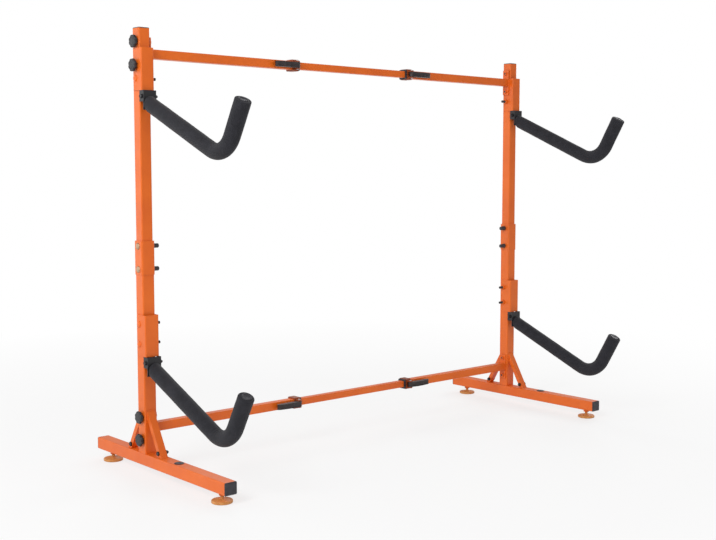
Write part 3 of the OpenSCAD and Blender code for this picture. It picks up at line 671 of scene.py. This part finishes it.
def foot_stem(box):
    """Threaded stem, from just inside the pad's hub to the top of the foot's box."""
    radius, pitch = 6 * MM, 1.75 * MM
    low, top, chamfer = 11.8 * MM, box[1].z, 0.9 * MM
    rings = thread(low, top - chamfer, radius, pitch)
    solid, at = Solid(), middle(box)
    solid.lathe([(0, low)] + rings + [(radius - 0.8 * MM, top), (0, top)],
                Matrix.Translation((at.x, at.y, 0)), 40,
                threaded(radius, pitch, 0.85 * MM, low, top - chamfer))
    return solid


for side in SIDES:
    for end in ("front", "rear"):
        node = f"{side}_{end}_levelling_foot"
        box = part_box(f"left_{end}_levelling_foot")
        mirror = side == "right"
        foot_pad(box).piece(f"{side}_{end}_pad_detail", f"{node}_body", PAD, "pad_plastic",
                            [node], sharp=50, mirror=mirror)
        foot_stem(box).piece(f"{side}_{end}_stem_detail", f"{node}_body", PAD, "pad_plastic",
                             [node], sharp=60, mirror=mirror)

# ---------------------------------------------------------------- bolts and nuts


def hexagon(flats):
    """The shape that trims a lathe to a hexagon."""
    def shape(angle, r, _):
        turn = (angle + math.pi / 6) % (math.pi / 3) - math.pi / 6
        return min(r, flats / 2 / math.cos(turn))
    return shape


def corner_of(flats):
    """Radius to the corners of a hexagon."""
    return flats / 2 / math.cos(math.pi / 6)


def bolt_shank(solid, at, length, radius, threaded_len, pitch):
    """Shank along local Z from its head, plain and then threaded to its end."""
    plain, crest_end, depth = length - threaded_len, length - 0.6 * MM, radius * 0.13
    solid.lathe([(0, 0), (radius, 0), (radius, plain), (0, plain)], at, 32)
    solid.lathe([(0, plain)] + thread(plain, crest_end, radius, pitch)
                + [(radius * 0.86, length), (0, length)], at, 36,
                threaded(radius, pitch, depth, plain, crest_end))


def domed_bolt(heads, shanks, box, radius, threaded_len, pitch):
    """Low dome on the outside, its shank running in through the post to a threaded tail."""
    low, high = box
    head_r, head_t, rim, steps = (high.y - low.y) / 2, radius, 0.5 * MM, 8
    dome = [(0, 0), (head_r, 0), (head_r, rim)]
    for k in range(1, steps):
        a = math.pi / 2 * k / steps
        dome.append((head_r * math.cos(a), rim + (head_t - rim) * math.sin(a)))
    seat = low.x + head_t
    heads.lathe(dome + [(0, head_t)], across(box, seat, TO_OUTSIDE))
    bolt_shank(shanks, across(box, seat, TO_INSIDE), high.x - seat, radius, threaded_len, pitch)


def hex_bolt(solid, box):
    """Bolt with a chamfered hexagonal head, slightly dished, and a threaded tail."""
    flats, head, dish = 13 * MM, 5.2 * MM, 0.3 * MM
    corner, seat = corner_of(flats), box[0].x + head
    profile = [(0, 0), (corner, 0), (corner, head - 1.1 * MM), (flats * 0.46, head),
               (flats * 0.36, head), (flats * 0.33, head - dish), (0, head - dish)]
    solid.lathe(profile, across(box, seat, TO_OUTSIDE), 72, hexagon(flats))
    bolt_shank(solid, across(box, seat, TO_INSIDE), box[1].x - seat, radius=4 * MM,
               threaded_len=16 * MM, pitch=1.25 * MM)


def nut_sizes(box):
    """A nut's thickness, width across the flats, radius to the corners and hole's radius."""
    low, high = box
    flats = min(high.y - low.y, high.z - low.z)
    return high.x - low.x, flats, corner_of(flats), flats * 0.31


def lock_nut(solid, box):
    """Hexagonal nut with chamfered corners and the plastic ring's collar."""
    thick, flats, corner, hole = nut_sizes(box)
    body, collar = 0.75 * thick, flats * 0.45
    profile = [(hole, 0), (flats * 0.47, 0), (corner, 0.9 * MM), (corner, body - 1.1 * MM),
               (flats * 0.47, body), (collar, body), (collar, thick - 1.0 * MM),
               (flats * 0.41, thick), (hole, thick - 0.2 * MM)]
    solid.lathe(profile, across(box, box[0].x, TO_INSIDE), 72, hexagon(flats), loop=True)


def cap_nut(solid, box, tail_end):
    """Hexagonal nut with a moulded cap over the bolt's tail."""
    thick, flats, corner, hole = nut_sizes(box)
    depth, barrel, steps = tail_end - box[0].x + 0.3 * MM, flats * 0.44, 6
    side_end, dome = depth - 2.4 * MM, 4.0 * MM
    profile = [(0, depth), (hole, depth), (hole, 0), (flats * 0.47, 0), (corner, 0.9 * MM),
               (corner, thick - 1.4 * MM), (flats * 0.48, thick - 0.3 * MM), (barrel, thick)]
    for k in range(steps):
        a = math.pi / 2 * k / steps
        profile.append((barrel * math.cos(a), side_end + dome * math.sin(a)))
    solid.lathe(profile + [(0, side_end + dome)], across(box, box[0].x, TO_INSIDE), 72,
                hexagon(flats))


def beside(box, *nodes):
    """Whether a fastener's middle is between the lowest and highest points of any node."""
    heights = [(low.z, high.z) for low, high in map(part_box, nodes)]
    return any(low < middle(box).z < high for low, high in heights)


bolt_boxes = islands("left_carriage_bolts")
splice_tail = max(box[1].x for box in bolt_boxes if beside(box, "left_splice_sleeve"))

for side in SIDES:
    splice_nuts, bracket_nuts, other_nuts = Solid(), Solid(), Solid()
    splice_heads, bracket_heads, shanks, hex_bolts = Solid(), Solid(), Solid(), Solid()
    for box in bolt_boxes:
        heads = splice_heads if beside(box, "left_splice_sleeve") else bracket_heads
        domed_bolt(heads, shanks, box, radius=5 * MM, threaded_len=32 * MM, pitch=1.5 * MM)
    for box in islands("left_hex_bolts"):
        hex_bolt(hex_bolts, box)
    for box in islands("left_lock_nuts"):
        if beside(box, "left_splice_sleeve"):
            cap_nut(splice_nuts, box, splice_tail)
        elif beside(box, "left_upper_bracket", "left_lower_bracket"):
            lock_nut(bracket_nuts, box)
        else:
            lock_nut(other_nuts, box)
    for solid, name, node, look, slot in (
            (splice_nuts, "splice_nuts_detail", "lock_nuts", PLUG, "black_plastic"),
            (bracket_nuts, "bracket_nuts_detail", "lock_nuts", ORANGE, "orange_paint"),
            (splice_heads, "carriage_bolt_heads", "carriage_bolts", PASSIVATED, "zinc_steel"),
            (bracket_heads, "bracket_bolt_heads", "carriage_bolts", ORANGE, "orange_paint"),
            (shanks, "carriage_bolt_shanks", "carriage_bolts", DARK, "dark_steel"),
            (hex_bolts, "hex_bolts_detail", "hex_bolts", DARK, "dark_steel"),
            (other_nuts, "lock_nuts_detail", "lock_nuts", DARK, "dark_steel")):
        solid.piece(f"{side}_{name}", f"{side}_frame", look, slot, [f"{side}_{node}"],
                    mirror=side == "right")

# The right side's rail bolts have no like on the left, so their boxes are mirrored first.
rail_bolts = Solid()
for low, high in islands("right_rail_bolts"):
    mirrored = (Vector((-high.x, low.y, low.z)), Vector((-low.x, high.y, high.z)))
    domed_bolt(rail_bolts, rail_bolts, mirrored, radius=4 * MM, threaded_len=20 * MM,
               pitch=1.25 * MM)
rail_bolts.piece("right_rail_bolts_detail", "right_frame", DARK, "dark_steel",
                 ["right_rail_bolts"], mirror=True)

# ---------------------------------------------------------------- weld beads


def bead(solid, points, radius=1.9 * MM, closed=False, seed=0.0):
    """A rippled weld along straight stretches between points."""
    step, ripple_len = 0.8 * MM, 3.2 * MM
    around = [math.tau * i / 10 for i in range(10)]
    path = []
    stops = points + [points[0]] if closed else points
    for a, b in zip(stops, stops[1:]):
        a, b = Vector(a), Vector(b)
        count = max(2, round((b - a).length / step))
        path += [a.lerp(b, k / count) for k in range(count)]
    if not closed:
        path.append(Vector(stops[-1]))
    last = len(path) - 1
    rings = []
    for k, p in enumerate(path):
        before = path[k - 1] if k or closed else p
        after = path[(k + 1) % len(path)] if k < last or closed else p
        turn = (after - before).normalized().to_track_quat("Z", "Y").to_matrix()
        r = 1 + 0.16 * math.cos(math.tau * k * step / ripple_len)
        r += 0.12 * noise.noise(p / (6 * MM) + Vector((seed, 0, 0)))
        if not closed:
            r *= math.sqrt(min(1.0, 0.1 + min(k, last - k) / 3))      # tapers at its ends
        r *= radius
        rings.append([p + turn @ Vector((r * math.cos(a), r * math.sin(a), 0))
                      for a in around])
    solid.loft(rings, closed=closed)


def rail_welds(solid, level, seed):
    """Bead round an outer rail where it meets its end plate."""
    low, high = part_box(f"left_{level}_rail")
    mid = (low.z + high.z) / 2
    rail_w, plate_t, radius = 30 * MM, 4.2 * MM, 1.7 * MM
    width = rail_w + 1.2 * MM
    ring = [(low.x + plate_t, POST_Y + u, mid + v)
            for u, v in outline(width, width, 3.5 * MM, 3)]
    bead(solid, ring, radius, closed=True, seed=seed)


def brace_welds(solid):
    """Beads over and beside the top of each brace, on the post's front and back."""
    brace_w, lean = 16 * MM, math.radians(30)
    post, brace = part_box("left_lower_post"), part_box("left_braces")
    top, low = brace[1].z + 0.6 * MM, brace[1].z - brace_w / math.sin(lean)
    left, right = brace[0].x - 0.4 * MM, brace[1].x + 0.4 * MM
    for y in (post[0].y - 0.3 * MM, post[1].y + 0.3 * MM):
        bead(solid, [(left, y, low), (left, y, top), (right, y, top), (right, y, low)])


for side in SIDES:
    welds = Solid()
    brace_welds(welds)
    for k, level in enumerate(LEVELS):
        rail_welds(welds, level, 3.0 + k)
    welds.piece(f"{side}_frame_welds", f"{side}_frame", ORANGE, "orange_paint",
                sharp=60, mirror=side == "right")

# ---------------------------------------------------------------- floor, light, camera


def floor_material():
    """Pale floor: lit like any surface, lifted to white for the camera, more so far away."""
    n = Nodes("pale_floor")
    n.set(Base_Color=(0.86, 0.86, 0.86, 1), Roughness=0.6, Specular_IOR_Level=0.2)
    n.bumps((n.noise(14, 5), 0.05, 0.5 * MM))
    glow = n.add("ShaderNodeEmission")
    glow.inputs["Color"].default_value = (1, 1, 1, 1)
    glow.inputs["Strength"].default_value = 1.0
    path = n.add("ShaderNodeLightPath")
    seen = n.math("MAXIMUM", path.outputs["Is Camera Ray"], path.outputs["Is Glossy Ray"])
    away = n.add("ShaderNodeVectorMath", operation="LENGTH")
    n.link(n.coord, away.inputs[0])
    share = n.ramp(away.outputs["Value"], 1.2, 3.4, 0.68, 1.0)
    mixer = n.add("ShaderNodeMixShader")
    n.link(n.math("MULTIPLY", seen, share), mixer.inputs["Fac"])
    n.link(n.shader.outputs["BSDF"], mixer.inputs[1])
    n.link(glow.outputs["Emission"], mixer.inputs[2])
    n.link(mixer.outputs["Shader"], n.tree.nodes["Material Output"].inputs["Surface"])
    return n.mat


bpy.ops.mesh.primitive_grid_add(x_subdivisions=8, y_subdivisions=8, size=60)
floor = bpy.context.object
floor.name = "floor"
floor.data.materials.append(floor_material())

# An even white world; the camera sees it at full white, and the rack is lit by less.
world = bpy.data.worlds.new("studio")
bpy.context.scene.world = world
world.use_nodes = True
tree = world.node_tree
back = tree.nodes["Background"]
back.inputs["Color"].default_value = (1, 1, 1, 1)
back.inputs["Strength"].default_value = 0.44
seen_white = tree.nodes.new("ShaderNodeBackground")
seen_white.inputs["Color"].default_value = (1, 1, 1, 1)
seen_white.inputs["Strength"].default_value = 1.0
ray = tree.nodes.new("ShaderNodeLightPath")
either = tree.nodes.new("ShaderNodeMath")
either.operation = "MAXIMUM"
tree.links.new(ray.outputs["Is Camera Ray"], either.inputs[0])
tree.links.new(ray.outputs["Is Transmission Ray"], either.inputs[1])
choose = tree.nodes.new("ShaderNodeMixShader")
tree.links.new(either.outputs[0], choose.inputs["Fac"])
tree.links.new(back.outputs["Background"], choose.inputs[1])
tree.links.new(seen_white.outputs["Background"], choose.inputs[2])
tree.links.new(choose.outputs["Shader"], tree.nodes["World Output"].inputs["Surface"])


def lamp(name, place, target, size, power):
    """A round area lamp of a size in metres and a power in watts, turned to its target."""
    data = bpy.data.lights.new(name, "AREA")
    data.shape, data.size, data.energy = "DISK", size, power
    obj = bpy.data.objects.new(name, data)
    bpy.context.scene.collection.objects.link(obj)
    obj.location = place
    obj.rotation_euler = (Vector(target) - Vector(place)).to_track_quat("-Z", "Y").to_euler()


lamp("key", (-4.6, -1.4, 3.2), (0, 0, 0.7), 2.6, 138)
lamp("fill", (-1.2, -4.8, 2.6), (0, 0, 0.7), 3.0, 44)
lamp("sheen", (-3.4, 4.0, 1.3), (0, 0, 0.8), 5.2, 70)
lamp("rim", (2.2, 3.6, 3.6), (0, 0, 0.8), 2.6, 40)
lamp("side", (4.6, 0.9, 2.6), (0, 0, 0.8), 3.0, 70)

# Fitted to the rack's straight edges in the photograph.
camera = bpy.data.objects.new("camera", bpy.data.cameras.new("camera"))
bpy.context.scene.collection.objects.link(camera)
camera.location = (-2.74247, -3.01611, 0.98883)
camera.rotation_euler = (math.radians(85), 0, math.radians(-41.32))
camera.data.lens, camera.data.sensor_width = 55.84, 36
bpy.context.scene.camera = camera
bpy.context.scene.view_settings.view_transform = "Standard"
